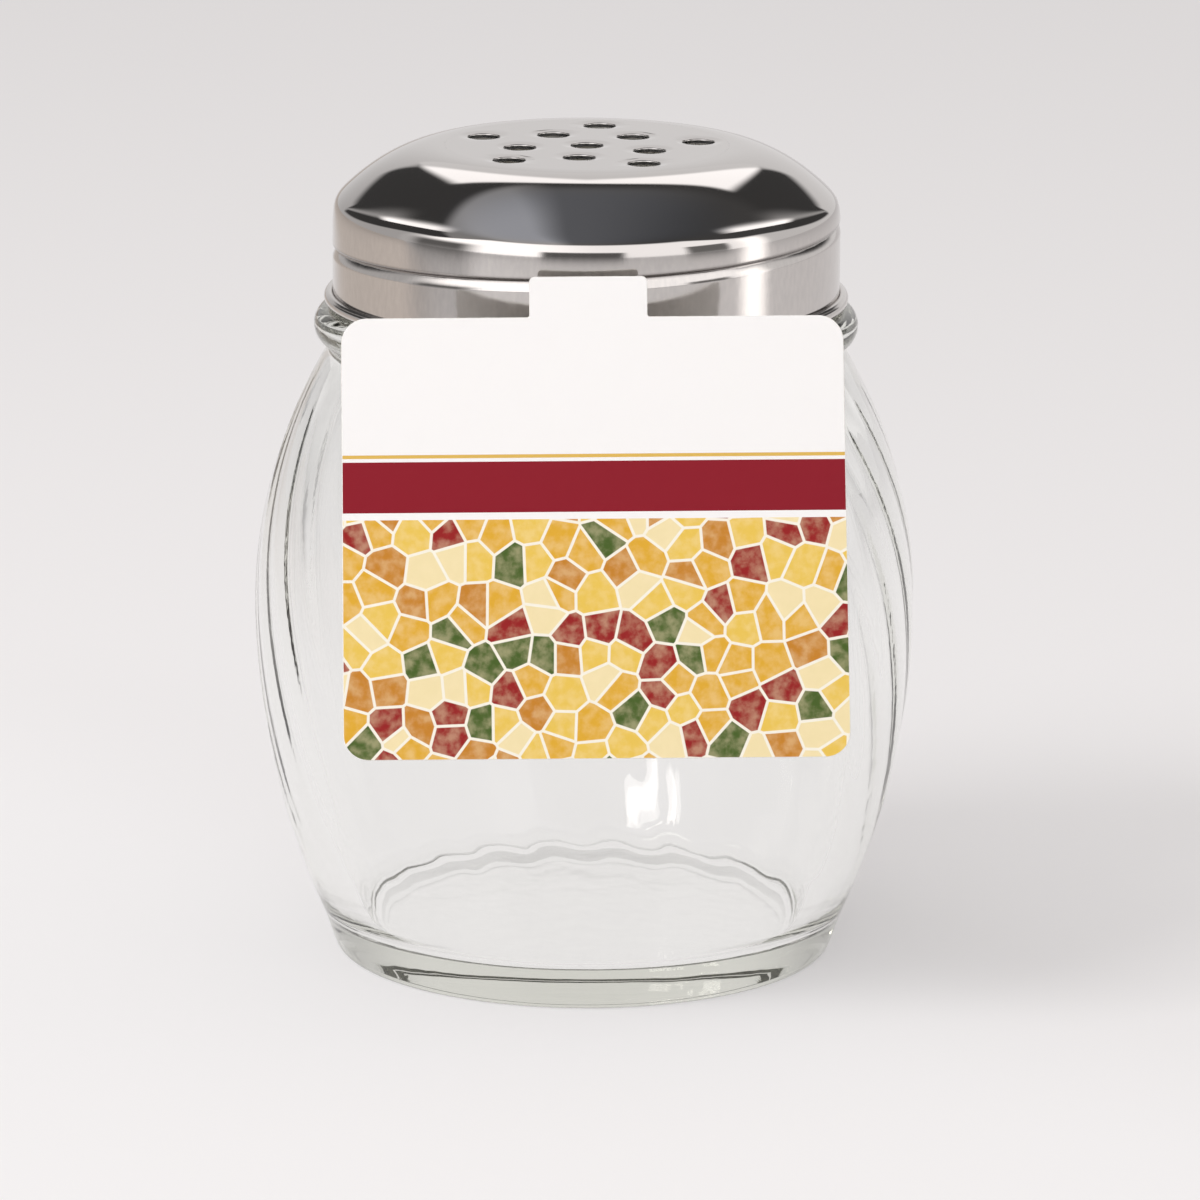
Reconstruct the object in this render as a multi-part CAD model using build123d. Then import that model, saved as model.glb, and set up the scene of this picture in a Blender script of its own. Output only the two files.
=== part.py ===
from build123d import *
import os
from math import atan2, cos, hypot, pi, radians, sin, sqrt, tan

# Glass jar: foot ring, barrel, throat, transfer bead and neck, in millimetres
foot_radius = 28.5
foot_height = 1.4
foot_edge_radius = 0.5
foot_ring_width = 4.6
push_up_depth = 1.2
heel_radius = 30.3
heel_height = 3.0
heel_edge_radius = 1.2
lower_barrel_height = 36.3
belly_radius = 38.1
upper_barrel_height = 29.5
throat_radius = 29.9
bead_radius = 31.0
bead_height = 5.0
neck_radius = 26.8
neck_height = 11.2
neck_wall = 3.6
wall = 4.5
floor_thickness = 3.6
floor_corner_radius = 5.0
throat_blend_radius = 9.0
lip_radius = 1.1

# Swirl flutes pressed into the barrel
flute_count = 32
flute_depth = 0.35
flute_twist = 36.0
flute_fade_height = 11.0
flute_sections = 11
points_per_flute = 6

# Screw thread that the neck and the lid share
thread_pitch = 6.35
neck_ridge_depth = 1.2
neck_ridge_width = 2.4
neck_ridge_crest = 1.0
neck_ridge_turns = 1.0
neck_ridge_lead = 60.0
lid_thread_depth = 1.0
lid_thread_width = 2.4
lid_thread_crest = 1.0
lid_thread_before = 225.0
lid_thread_after = 110.0
lid_thread_below_rim = 3.65
groove_setback = 3.0
thread_play = 0.1

# Pressed steel lid
lid_sheet = 0.5
skirt_clearance = 0.5
shoulder_headroom = 0.4
shoulder_rise = 6.4
shoulder_angle = 40.0
top_edge_radius = 9.0
shoulder_edge_radius = 1.3
hem_radius = 0.5
hem_curl_angle = 270.0
hem_gap = 0.7
hole_diameter = 3.7
holes_per_ring = 5
inner_ring_radius = 7.8
outer_ring_radius = 13.0
outer_ring_angle = 11.6

# Soft ring that lies on the rim under the lid
seal_thickness = 0.9
seal_side_clearance = 0.4
seal_mouth_clearance = 0.5

# Stiff printed card and the glue pad that holds it on the barrel
card_width = 56.0
card_height = 49.0
card_thickness = 0.4
card_corner_radius = 2.8
card_shift = 0.6
tab_width = 13.0
tab_height = 4.3
tab_corner_radius = 0.6
tab_shift = -0.2
tab_drop = 9.4
card_lid_clearance = 0.6
pad_width = 15.0
pad_height = 16.0
pad_thickness = 0.4
pad_seat_gap = 0.05

# Small overlap that joins or cuts solids cleanly
bite = 0.4

# Heights along the axis, measured up from the surface that the jar stands on
heel_top_height = foot_height + heel_height
belly_height = heel_top_height + lower_barrel_height
throat_height = belly_height + upper_barrel_height
neck_base_height = throat_height + bead_height
rim_height = neck_base_height + neck_height
mouth_radius = neck_radius - neck_wall
floor_height = push_up_depth + floor_thickness
hem_bottom_height = neck_base_height + hem_gap
crease_height = rim_height + seal_thickness + shoulder_headroom
lid_top_height = crease_height + shoulder_rise
skirt_radius = neck_radius + neck_ridge_depth + skirt_clearance + lid_sheet
skirt_inner_radius = skirt_radius - lid_sheet
hem_outer_radius = skirt_radius + 2 * hem_radius
lid_thread_height = rim_height - lid_thread_below_rim
neck_thread_height = lid_thread_height + (lid_thread_crest + neck_ridge_width) / 2 + thread_play

# The front of the jar, where the card is, faces -Y
front_angle = 270.0


def bulge_radius(end_radius, rise):
    """Radius of the arc that leaves the belly upright and reaches end_radius after the rise."""
    inset = belly_radius - end_radius
    return (inset * inset + rise * rise) / (2 * inset)


upper_bulge = bulge_radius(throat_radius, upper_barrel_height)
lower_bulge = bulge_radius(heel_radius, lower_barrel_height)


def barrel_radius(height, inset=0.0):
    """Radius of the barrel at a height, drawn in square to its surface by inset."""
    bulge = upper_bulge if height > belly_height else lower_bulge
    offset = height - belly_height
    return belly_radius - bulge + sqrt((bulge - inset) ** 2 - offset * offset)


def barrel_arcs(low, high, inset):
    """Two arcs of the barrel's outline, drawn in by inset, from a low height past the belly to a high one."""
    bottom = (barrel_radius(low, inset), low)
    belly = (belly_radius - inset, belly_height)
    top = (barrel_radius(high, inset), high)
    middle_low = (low + belly_height) / 2
    middle_high = (high + belly_height) / 2
    return [
        ThreePointArc(bottom, (barrel_radius(middle_low, inset), middle_low), belly),
        ThreePointArc(belly, (barrel_radius(middle_high, inset), middle_high), top),
    ]


def turned(outline, *corners):
    """Solid of revolution about Z from a closed outline of radius and height, its corners rounded."""
    return revolve(Plane.XZ * rounded(make_face(outline), *corners), Axis.Z)


def rounded(face, *corners):
    """Face with each (radius, height, fillet) corner rounded."""
    for radius, height, fillet_radius in corners:
        corner = face.vertices().sort_by_distance((radius, height, 0))[0]
        face = fillet(corner, fillet_radius)
    return face


def flute_fade(height):
    """Share of the full flute depth at a height: none at both ends of the barrel."""
    edge = min(height - heel_top_height, throat_height - height)
    share = max(0.0, min(1.0, edge / flute_fade_height))
    return share * share * (3 - 2 * share)


def flute_section(height):
    """Cross-section of the barrel: a wavy ring turned by the swirl at this height."""
    turn = -radians(flute_twist) * (height - heel_top_height) / (throat_height - heel_top_height)
    depth = flute_depth * flute_fade(height)
    steps = flute_count * points_per_flute
    points = []
    for step in range(steps):
        angle = 2 * pi * step / steps
        radius = barrel_radius(height) - depth * (1 - cos(flute_count * angle)) / 2
        points.append((radius * cos(angle + turn), radius * sin(angle + turn), height))
    return make_face(Spline(*points, periodic=True))


def helix_height(angle, front_height):
    """Height of a thread at an angle, from its height at the front."""
    return front_height + thread_pitch * (angle - front_angle) / 360


def thread(radius, front_height, start_angle, end_angle, root, crest):
    """Solid swept along the right-hand thread, tapered from root to crest, each (reach, width)."""
    rise = thread_pitch * (end_angle - start_angle) / 360
    path = Helix(thread_pitch, rise, radius)
    start = Plane(origin=(radius, 0, 0), x_dir=(1, 0, 0), z_dir=path % 0)
    (root_reach, root_width), (crest_reach, crest_width) = root, crest
    section = Polyline(
        (root_reach, -root_width / 2), (crest_reach, -crest_width / 2),
        (crest_reach, crest_width / 2), (root_reach, root_width / 2), close=True)
    solid = sweep(start * make_face(section), path, is_frenet=True)
    return Pos(0, 0, helix_height(start_angle, front_height)) * Rot(0, 0, start_angle) * solid


def flared(width, crest_width, depth, extra):
    """Width of a tapered section carried past its root by an extra length."""
    return width + (width - crest_width) * extra / depth


def make_barrel():
    """Fluted barrel as one smooth skin through wavy rings, from the throat down to the heel."""
    spacing = (throat_height - heel_top_height) / (flute_sections - 1)
    return loft([flute_section(throat_height - spacing * i) for i in range(flute_sections)])


def make_foot():
    """Foot ring under a rounded heel band."""
    heel_edge = heel_radius - bite / 2
    joined = heel_top_height + bite
    outline = Polyline(
        (0, 0), (foot_radius, 0), (foot_radius, foot_height), (heel_edge, foot_height),
        (heel_edge, joined), (0, joined), close=True)
    return turned(outline, (foot_radius, 0, foot_edge_radius), (heel_edge, foot_height, heel_edge_radius))


def make_neck():
    """Transfer bead and plain neck up to the rounded rim."""
    bead_edge = throat_radius - bite / 2
    ledge = neck_radius + lip_radius
    joined = throat_height - bite
    outline = [
        Polyline((0, joined), (bead_edge, joined), (bead_edge, throat_height)),
        ThreePointArc((bead_edge, throat_height), (bead_radius, throat_height + bead_height / 2),
                      (ledge, neck_base_height)),
        Polyline((ledge, neck_base_height), (neck_radius, neck_base_height), (neck_radius, rim_height),
                 (0, rim_height), (0, joined)),
    ]
    return turned(outline, (neck_radius, rim_height, lip_radius))


def make_neck_ridge():
    """Thread ridge round the neck."""
    end = front_angle - neck_ridge_lead
    root = flared(neck_ridge_width, neck_ridge_crest, neck_ridge_depth, bite)
    return thread(
        neck_radius, neck_thread_height, end - 360 * neck_ridge_turns, end,
        (-bite, root), (neck_ridge_depth, neck_ridge_crest))


def make_hollow():
    """Inside of the jar: floor, barrel wall and a blended mouth that runs out of the rim."""
    throat_reach = mouth_radius - (belly_radius - upper_bulge)
    throat = belly_height + sqrt((upper_bulge - wall) ** 2 - throat_reach ** 2)
    floor_edge = barrel_radius(floor_height, wall)
    above = rim_height + bite
    outline = barrel_arcs(floor_height, throat, wall) + [
        Polyline((mouth_radius, throat), (mouth_radius, above), (0, above), (0, floor_height),
                 (floor_edge, floor_height)),
    ]
    floor_corner = (floor_edge, floor_height, floor_corner_radius)
    throat_corner = (mouth_radius, throat, throat_blend_radius)
    return turned(outline, floor_corner, throat_corner)


def make_push_up():
    """Shallow dome under the base, inside the foot ring."""
    rest_radius = foot_radius - foot_ring_width
    dome = ThreePointArc((-rest_radius, 0), (0, push_up_depth), (rest_radius, 0)).trim(0.5, 1)
    return turned([dome, Polyline((rest_radius, 0), (0, 0), (0, push_up_depth))])


def make_glass_jar():
    """Fluted barrel on a foot ring, with a beaded and threaded neck, hollowed out."""
    outside = make_barrel() + make_foot() + make_neck() + make_neck_ridge()
    return outside - make_hollow() - make_push_up()


def make_shaker_lid():
    """Pressed sheet lid: perforated flat top, cone, threaded skirt and curled hem."""
    middle = lid_sheet / 2
    skirt_line = skirt_radius - middle
    top_line = lid_top_height - middle
    hem_centre = hem_bottom_height + hem_radius + middle
    top_corner = skirt_line - shoulder_rise / tan(radians(shoulder_angle))
    sheet_line = FilletPolyline(
        (0, top_line), (top_corner, top_line), (skirt_line, crease_height), (skirt_line, hem_centre),
        radius=[top_edge_radius, shoulder_edge_radius])
    curl = CenterArc((skirt_line + hem_radius, hem_centre), hem_radius, 180, hem_curl_angle)
    sheet = trace([sheet_line, curl], lid_sheet)
    lid = revolve(Plane.XZ * sheet, Axis.Z)

    start = front_angle - lid_thread_before
    end = front_angle + lid_thread_after
    bead_root = flared(lid_thread_width, lid_thread_crest, lid_thread_depth, middle)
    bead = thread(
        skirt_inner_radius, lid_thread_height, start, end,
        (middle, bead_root), (-lid_thread_depth, lid_thread_crest))
    groove_width = lid_thread_width - lid_sheet
    groove_crest = lid_thread_crest - lid_sheet
    groove_root = flared(groove_width, groove_crest, lid_thread_depth, bite)
    groove = thread(
        skirt_radius, lid_thread_height, start + groove_setback, end - groove_setback,
        (bite, groove_root), (-lid_thread_depth, groove_crest))

    punch_length = 4 * lid_sheet
    punch = Pos(0, 0, top_line) * Cylinder(hole_diameter / 2, punch_length)
    outer_ring = PolarLocations(outer_ring_radius, holes_per_ring, outer_ring_angle)
    inner_ring = PolarLocations(inner_ring_radius, holes_per_ring, outer_ring_angle + 180 / holes_per_ring)
    punches = [punch] + [place * punch for ring in (outer_ring, inner_ring) for place in ring]
    return lid + bead - groove - punches


def make_rim_seal():
    """Flat soft ring on the rim, held inside the skirt."""
    outer = Circle(skirt_inner_radius - seal_side_clearance)
    ring = outer - Circle(mouth_radius + seal_mouth_clearance)
    return Pos(0, 0, rim_height) * extrude(ring, seal_thickness)


def card_plane():
    """Plane of the card's back, which clears the hem and leans on the pad, and the way down it to the pad."""
    top_height = lid_top_height - tab_drop
    top_reach = hem_outer_radius + card_lid_clearance
    centre_reach = belly_radius - upper_bulge
    stand_off = upper_bulge + pad_thickness
    across = top_reach - centre_reach
    up = top_height - belly_height
    span = hypot(across, up)
    touch = sqrt(span * span - stand_off * stand_off)
    lean = atan2(stand_off, touch) - atan2(across, up)
    plane = Plane(origin=(0, -top_reach, top_height), x_dir=(1, 0, 0), z_dir=(0, -cos(lean), sin(lean)))
    return plane, touch


def make_front_label():
    """Flat stiff card with a tab at its top edge."""
    plane = card_plane()[0]
    middle = -tab_height - card_height / 2
    field = Pos(card_shift, middle) * RectangleRounded(card_width, card_height, card_corner_radius)
    tab_length = tab_height + card_height / 2
    tab = Pos(tab_shift, -tab_length / 2) * RectangleRounded(tab_width, tab_length, tab_corner_radius)
    return extrude(plane * (field + tab), card_thickness)


def make_label_adhesive():
    """Glue pad between the card and the barrel, flat in front and hollowed by the glass."""
    plane, touch = card_plane()
    back = (Align.CENTER, Align.CENTER, Align.MAX)
    block = plane * Pos(0, -touch, 0) * Box(pad_width, pad_height, pad_width, align=back)
    top = (barrel_radius(throat_height, -pad_seat_gap), throat_height)
    bottom = (barrel_radius(heel_top_height, -pad_seat_gap), heel_top_height)
    glass = turned(barrel_arcs(heel_top_height, throat_height, -pad_seat_gap) + [
        Polyline(top, (0, throat_height), (0, heel_top_height), bottom),
    ])
    return block - glass


pieces = {
    "glass_jar": make_glass_jar(),
    "shaker_lid": make_shaker_lid(),
    "rim_seal": make_rim_seal(),
    "front_label": make_front_label(),
    "label_adhesive": make_label_adhesive(),
}

os.makedirs("parts", exist_ok=True)
for name, piece in pieces.items():
    export_step(piece, f"parts/{name}.step")
    print(name, round(piece.volume, 1), piece.bounding_box())
print("rim", round(rim_height, 2), "top", round(lid_top_height, 2))
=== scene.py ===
import math

import bmesh
import bpy
import numpy as np
from mathutils import Matrix, Vector


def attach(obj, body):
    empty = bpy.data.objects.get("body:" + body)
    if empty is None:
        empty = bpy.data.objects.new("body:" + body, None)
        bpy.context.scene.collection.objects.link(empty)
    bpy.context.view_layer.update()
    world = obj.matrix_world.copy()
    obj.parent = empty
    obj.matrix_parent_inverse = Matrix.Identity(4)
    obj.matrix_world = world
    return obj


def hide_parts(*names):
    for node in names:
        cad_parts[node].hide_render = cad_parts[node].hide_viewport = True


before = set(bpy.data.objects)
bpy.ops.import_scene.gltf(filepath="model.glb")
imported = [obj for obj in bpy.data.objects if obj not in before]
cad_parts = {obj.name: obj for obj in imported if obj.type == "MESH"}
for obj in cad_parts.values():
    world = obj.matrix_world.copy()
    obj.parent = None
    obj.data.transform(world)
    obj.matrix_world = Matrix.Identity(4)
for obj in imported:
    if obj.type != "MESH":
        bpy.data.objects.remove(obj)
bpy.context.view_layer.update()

# Shapes are worked out in millimetres and put into the meshes in metres
MM = 0.001

# Glass jar
foot_radius = 28.8
foot_edge_radius = 0.6
foot_ring_width = 4.9
push_up_depth = 0.2
heel_radius = 30.3
heel_height = 4.4
lower_barrel_height = 36.3
belly_radius = 38.09
upper_barrel_height = 29.5
throat_radius = 29.9
bead_radius = 31.25
bead_height = 5.0
shoulder_overrun = 1.2
shoulder_softness = 0.5
neck_radius = 26.8
neck_height = 11.2
neck_wall = 3.6
neck_fillet = 0.5
wall = 4.5
floor_thickness = 4.6
hollow_softness = 1.2
lip_radius = 1.1
glass_softness = 0.3

# Swirl flutes in the barrel
flute_count = 32
flute_depth = 0.2
flute_twist = 36.0
flute_low_fade = 40.0
flute_high_fade = 8.0
flute_sharpness = 0.7

# Screw thread that the neck and the lid share; angles are seen from above, with the front at 270
thread_pitch = 6.35
front_angle = 270.0
ridge_depth = 1.2
ridge_half_width = 1.3
ridge_start = -150.0
ridge_end = 210.0
groove_depth = 0.45
groove_step = 0.35
groove_ramp = 1.1
groove_curve = 1.3
# Width of the painted shade line in the groove's step
groove_shade_width = 0.5
groove_start = 45.0
groove_end = 380.0
groove_below_rim = 2.3
thread_fade = 14.0
ridge_below_rim = 1.85

# Pressed steel lid
lid_sheet = 0.5
skirt_clearance = 0.5
shoulder_headroom = 0.4
shoulder_rise = 6.4
dome_start_radius = 16.6
crease_softness = 0.7
skirt_lean = 0.15
skirt_lean_height = 2.2
hem_radius = 0.5
hem_gap = 0.7
hem_curl_angle = 270.0
plate_radius = 16.2
hole_diameter = 3.7
hole_edge_radius = 0.16
hole_dimple = 0.1
hole_dimple_width = 0.9
holes_per_ring = 5
inner_ring_radius = 7.8
outer_ring_radius = 13.0
outer_ring_angle = 11.6
ring_boundaries = (3.9, 10.4)

# Soft ring on the rim
seal_thickness = 0.9
seal_side_clearance = 0.4
seal_mouth_clearance = 0.5
seal_edge_radius = 0.25

# Printed card and glue pad
card_width = 56.0
card_height = 48.7
card_turn = 0.75
card_thickness = 0.4
card_corner_radius = 2.8
card_edge_radius = 0.08
card_shift = 0.8
card_taper_left = 0.2
card_taper_right = 0.6
tab_width = 13.0
tab_height = 4.45
tab_corner_radius = 0.6
tab_foot_radius = 0.25
tab_shift = 0.2
tab_drop = 9.25
card_lid_clearance = 0.6
pad_width = 15.0
pad_height = 16.0
pad_thickness = 0.4
pad_seat_gap = 0.06
pad_squareness = 0.45
pad_bulge = 0.03

# Heights and radii that follow from those
belly_height = heel_height + lower_barrel_height
throat_height = belly_height + upper_barrel_height
neck_base_height = throat_height + bead_height
rim_height = neck_base_height + neck_height
mouth_radius = neck_radius - neck_wall
floor_height = push_up_depth + floor_thickness
hem_bottom_height = neck_base_height + hem_gap
crease_height = rim_height + seal_thickness + shoulder_headroom
lid_top_height = crease_height + shoulder_rise
skirt_radius = neck_radius + ridge_depth + skirt_clearance + lid_sheet
skirt_inner_radius = skirt_radius - lid_sheet
hem_outer_radius = skirt_radius + 2 * hem_radius
groove_height = rim_height - groove_below_rim
ridge_height = rim_height - ridge_below_rim

# Share of light that the sides of the room lose when they are seen through glass
side_shade = 0.4

# Places of the lid's finishes in its list of materials
POLISHED, SATIN, PUNCHED_SHADED = range(3)

# Mesh density
jar_columns = flute_count * 10
jar_rows = 280
jar_spacing = 0.06
neck_row_weight = 2.0
lid_columns = 200
lid_rows = 150
lid_spacing = 0.1
skirt_row_weight = 1.5
bend_weight = 2.5
bend_weight_limit = 6.0
hole_rows = 6
cell_side_steps = 10
seal_spacing = 0.2
card_spacing = 0.3
pad_columns = 96
pad_rows = 12
depth_halvings = 40
weld_distance = 1e-7


def smooth_step(share):
    """Rises from 0 to 1 with level ends, as 3 s squared less 2 s cubed."""
    share = np.clip(share, 0, 1)
    return share * share * (3 - 2 * share)


def hump(offset, half_width):
    """Raised cosine: 1 in the middle and 0 at half_width and beyond."""
    share = np.clip(np.abs(offset) / half_width, 0, 1)
    return (1 + np.cos(math.pi * share)) / 2


def straight(start, end, spacing):
    """Even points on a straight line from start towards end, which is left out."""
    start, end = np.asarray(start, float), np.asarray(end, float)
    count = max(1, round(float(np.linalg.norm(end - start)) / spacing))
    share = np.arange(count)[:, None] / count
    return start + (end - start) * share


def circle_arc(centre, radius, start, end, spacing):
    """Even points on a circle from one angle in degrees towards another, which is left out."""
    count = max(3, round(abs(math.radians(end - start)) * radius / spacing))
    angle = np.radians(start + (end - start) * np.arange(count) / count)
    return np.stack([centre[0] + radius * np.cos(angle), centre[1] + radius * np.sin(angle)], axis=1)


def rounded_path(corners, radii, spacing):
    """Even points along straight runs whose inner corners are arcs of the given radii, end left out."""
    corners = np.asarray(corners, float)
    runs = []
    here = corners[0]
    for before, corner, after, radius in zip(corners, corners[1:], corners[2:], radii):
        into = (corner - before) / np.linalg.norm(corner - before)
        out = (after - corner) / np.linalg.norm(after - corner)
        left = np.array([-into[1], into[0]])
        towards = left * np.sign(left @ out)
        turn = math.acos(into @ out)
        reach = radius * math.tan(turn / 2)
        start = corner - into * reach
        centre = start + towards * radius
        count = max(3, round(turn * radius / spacing))
        angle = turn * np.arange(count)[:, None] / count
        runs.append(straight(here, start, spacing))
        runs.append(centre - towards * radius * np.cos(angle) + into * radius * np.sin(angle))
        here = corner + out * reach
    runs.append(straight(here, corners[-1], spacing))
    return np.concatenate(runs)


def lengths_along(path):
    """Distance along a path at each of its points."""
    steps = np.linalg.norm(np.diff(path, axis=0), axis=1)
    return np.concatenate([[0], np.cumsum(steps)])


def even_path(path, spacing):
    """The same path with points at an even spacing, both ends kept."""
    along = lengths_along(path)
    places = np.linspace(0, along[-1], round(along[-1] / spacing) + 1)
    return np.stack([np.interp(places, along, path[:, axis]) for axis in (0, 1)], axis=1)


def softened(path, reach, spacing):
    """Path whose corners are rounded by a bell-weighted running mean of the given reach, ends kept."""
    half = round(3 * reach / spacing)
    bell = np.exp(-0.5 * (np.arange(-half, half + 1) * spacing / reach) ** 2)
    bell /= bell.sum()
    before = 2 * path[0] - path[half:0:-1]
    after = 2 * path[-1] - path[-2:-half - 2:-1]
    long_path = np.concatenate([before, path, after])
    return np.stack([np.convolve(long_path[:, axis], bell, "valid") for axis in (0, 1)], axis=1)


def rows_by_bend(path, count, extra):
    """Points of a path, closer together where it bends and where the extra weight asks for it."""
    along = lengths_along(path)
    slope = np.unwrap(np.arctan2(np.gradient(path[:, 1]), np.gradient(path[:, 0])))
    bend = np.abs(np.gradient(slope) / np.gradient(along))
    weight = 1 + np.minimum(bend_weight * bend, bend_weight_limit) + extra
    share = np.concatenate([[0], np.cumsum((weight[1:] + weight[:-1]) / 2 * np.diff(along))])
    places = np.interp(np.linspace(0, share[-1], count), share, along)
    return np.stack([np.interp(places, along, path[:, axis]) for axis in (0, 1)], axis=1)


def grid_faces(rows, columns, wrap_rows=False):
    """Corner numbers of the quads of a grid that is closed round its columns."""
    row = np.arange(rows if wrap_rows else rows - 1)[:, None]
    column = np.arange(columns)[None, :]
    next_row = (row + 1) % rows
    next_column = (column + 1) % columns
    corners = [row * columns + column, row * columns + next_column,
               next_row * columns + next_column, next_row * columns + column]
    return np.stack(np.broadcast_arrays(*corners), axis=-1).reshape(-1, 4)


def turned_grid(radius, height, angle):
    """Points of a turned surface from arrays of radius, height and angle of the same shape."""
    return np.stack([radius * np.cos(angle), radius * np.sin(angle), height], axis=-1)


def new_piece(name, points, faces, *materials, weld=True, finish=None, shade=None):
    """Mesh object at the origin from points in millimetres, its poles and seams welded."""
    mesh = bpy.data.meshes.new(name)
    mesh.from_pydata((points.reshape(-1, 3) * MM).tolist(), [], [tuple(face) for face in faces])
    mesh.polygons.foreach_set("use_smooth", np.ones(len(mesh.polygons), bool))
    for material in materials:
        mesh.materials.append(material)
    if finish is not None:
        mesh.polygons.foreach_set("material_index", finish.astype(np.int32))
    if shade is not None:
        mesh.attributes.new("shade", "FLOAT", "POINT").data.foreach_set("value", shade.astype(np.float32))
    if weld:
        shape = bmesh.new()
        shape.from_mesh(mesh)
        bmesh.ops.remove_doubles(shape, verts=shape.verts, dist=weld_distance)
        shape.to_mesh(mesh)
        shape.free()
    piece = bpy.data.objects.new(name, mesh)
    bpy.context.scene.collection.objects.link(piece)
    return piece


def stands_for(piece, node, body):
    """Puts a piece on its body and hides the CAD node that it stands in for."""
    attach(piece, body)
    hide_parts(node)


def bulge_radius(end_radius, rise):
    """Radius of the arc that leaves the belly upright and reaches end_radius after the rise."""
    inset = belly_radius - end_radius
    return (inset * inset + rise * rise) / (2 * inset)


upper_bulge = bulge_radius(throat_radius, upper_barrel_height)
lower_bulge = bulge_radius(heel_radius, lower_barrel_height)


def barrel_radius(height, inset=0.0):
    """Radius of the barrel at a height, on the upper or the lower arc, drawn in by inset."""
    bulge = np.where(height > belly_height, upper_bulge, lower_bulge)
    return belly_radius - bulge + np.sqrt((bulge - inset) ** 2 - (height - belly_height) ** 2)


def flute_drop(height, angle):
    """How far the flutes sink below the barrel: a wave round it, turned with height, level at both ends."""
    share = (height - heel_height) / (throat_height - heel_height)
    turn = -math.radians(flute_twist) * share
    low = smooth_step((height - heel_height) / flute_low_fade)
    high = smooth_step((throat_height - height) / flute_high_fade)
    wave = (1 - np.cos(flute_count * (angle - turn))) / 2
    return flute_depth * low * high * wave ** flute_sharpness


def helix_offset(height, angle, front_height, start, end):
    """Height above a thread's helix, and the share of the thread that its two faded ends leave."""
    place = (np.degrees(angle) - start) % 360 + start
    offset = height - front_height - thread_pitch * (place - front_angle) / 360
    fade = smooth_step((place - start) / thread_fade) * smooth_step((end - place) / thread_fade)
    return offset, fade


def ridge_rise(height, angle):
    """How far the neck's ridge stands out: a hump across its helix."""
    offset, fade = helix_offset(height, angle, ridge_height, ridge_start, ridge_end)
    return ridge_depth * hump(offset, ridge_half_width) * fade


def groove_shade(height, angle):
    """How deep in the groove's narrow step a point lies, the share of painted shade there: a hump across the
    helix.
    """
    offset, fade = helix_offset(height, angle, groove_height, groove_start, groove_end)
    return hump(offset, groove_shade_width) * fade


def groove_press(height, angle):
    """How far the lid's groove is pressed in: a short step under its helix, then a curved ramp back out."""
    offset, fade = helix_offset(height, angle, groove_height, groove_start, groove_end)
    step = smooth_step(0.5 - offset / groove_step)
    ramp = np.clip(1 + (offset + groove_step / 2) / groove_ramp, 0, 1) ** groove_curve
    return groove_depth * step * ramp * fade


def barrel_line(low, high, inset, spacing):
    """Outline of the barrel between two heights, drawn in by inset."""
    count = max(2, round(abs(high - low) / spacing))
    height = low + (high - low) * np.arange(count) / count
    return np.stack([barrel_radius(height, inset), height], axis=1)


def jar_outline():
    """Closed outline of the glass, under the base, up the outside, over the rim and down to the floor."""
    step = jar_spacing
    rest_radius = foot_radius - foot_ring_width
    reach = np.linspace(0, rest_radius, round(rest_radius / step))[:-1]
    push_up = np.stack([reach, push_up_depth * (1 - (reach / rest_radius) ** 2)], axis=1)
    foot_corners = [(rest_radius, 0), (foot_radius, 0), (heel_radius, heel_height)]
    foot = rounded_path(foot_corners, [foot_edge_radius], step)
    barrel = barrel_line(heel_height, throat_height + shoulder_overrun, 0, step)
    ledge = [(neck_radius + lip_radius, neck_base_height)]
    shoulder = np.concatenate([barrel, bead_line(step), ledge])
    shoulder = softened(even_path(shoulder, step), shoulder_softness, step)[:-1]
    neck = rounded_path(
        [ledge[0], (neck_radius, neck_base_height), (neck_radius, rim_height),
         (mouth_radius, rim_height), (mouth_radius, rim_height - 2 * lip_radius)],
        [neck_fillet, lip_radius, lip_radius], step)
    throat_reach = mouth_radius - (belly_radius - upper_bulge)
    throat = belly_height + math.sqrt((upper_bulge - wall) ** 2 - throat_reach ** 2)
    mouth = straight((mouth_radius, rim_height - 2 * lip_radius), (mouth_radius, throat), step)
    inside = barrel_line(throat, floor_height, wall, step)
    floor_edge = float(barrel_radius(floor_height, wall))
    floor = straight((floor_edge, floor_height), (0, floor_height), step)
    hollow = np.concatenate([mouth, inside, floor, [(0, floor_height)]])
    hollow = softened(even_path(hollow, step), hollow_softness, step)
    outside = np.concatenate([push_up, foot, shoulder, neck])
    outside = softened(even_path(outside, step), glass_softness, step)
    return np.concatenate([outside[:-1], hollow])


def bead_line(spacing):
    """Arc of the transfer bead through its lower edge, its widest point and the ledge under the neck."""
    low_height = throat_height + shoulder_overrun
    low = np.array([float(barrel_radius(low_height)), low_height])
    middle = np.array([bead_radius, (low_height + neck_base_height) / 2])
    high = np.array([neck_radius + lip_radius, neck_base_height])
    sides = np.stack([middle - low, high - low])
    squares = [(middle @ middle - low @ low) / 2, (high @ high - low @ low) / 2]
    centre = np.linalg.solve(sides, squares)
    start, end = (math.degrees(math.atan2(*(point - centre)[::-1])) for point in (low, high))
    return circle_arc(centre, float(np.linalg.norm(low - centre)), start, end, spacing)


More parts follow.
